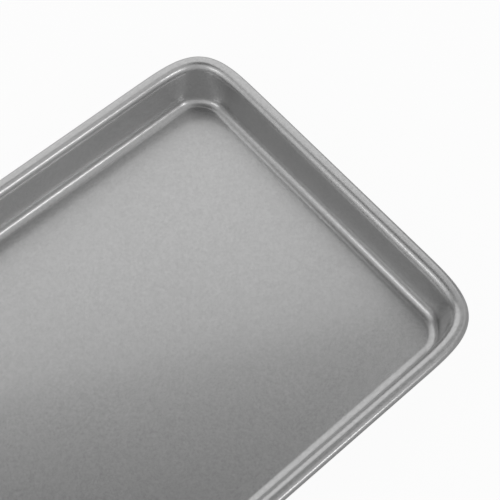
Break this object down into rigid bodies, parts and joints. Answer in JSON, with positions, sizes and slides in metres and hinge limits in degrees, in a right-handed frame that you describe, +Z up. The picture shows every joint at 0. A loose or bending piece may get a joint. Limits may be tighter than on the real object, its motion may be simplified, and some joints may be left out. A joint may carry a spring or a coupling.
{
  "type": "rectangular cake pan",
  "caption": "Shallow rectangular steel cake pan with steep walls, rounded corners, a grey non-stick coating and a rim rolled round a wire.",
  "frame": {"origin": "centre of the underside, on the surface that the pan stands on", "axes": "+X along the pan's length, +Y along its width, +Z up out of the open top"},
  "size_m": [0.33, 0.241, 0.032],
  "materials": {
    "nonstick_coating": "semi-gloss grey non-stick coating with a fine metallic grain, on pressed steel",
    "drawn_wire": "plain drawn steel wire"
  },
  "bodies": {
    "root": {"pan_shell": "nonstick_coating", "rim_wire": "drawn_wire"}
  },
  "joints": []
}
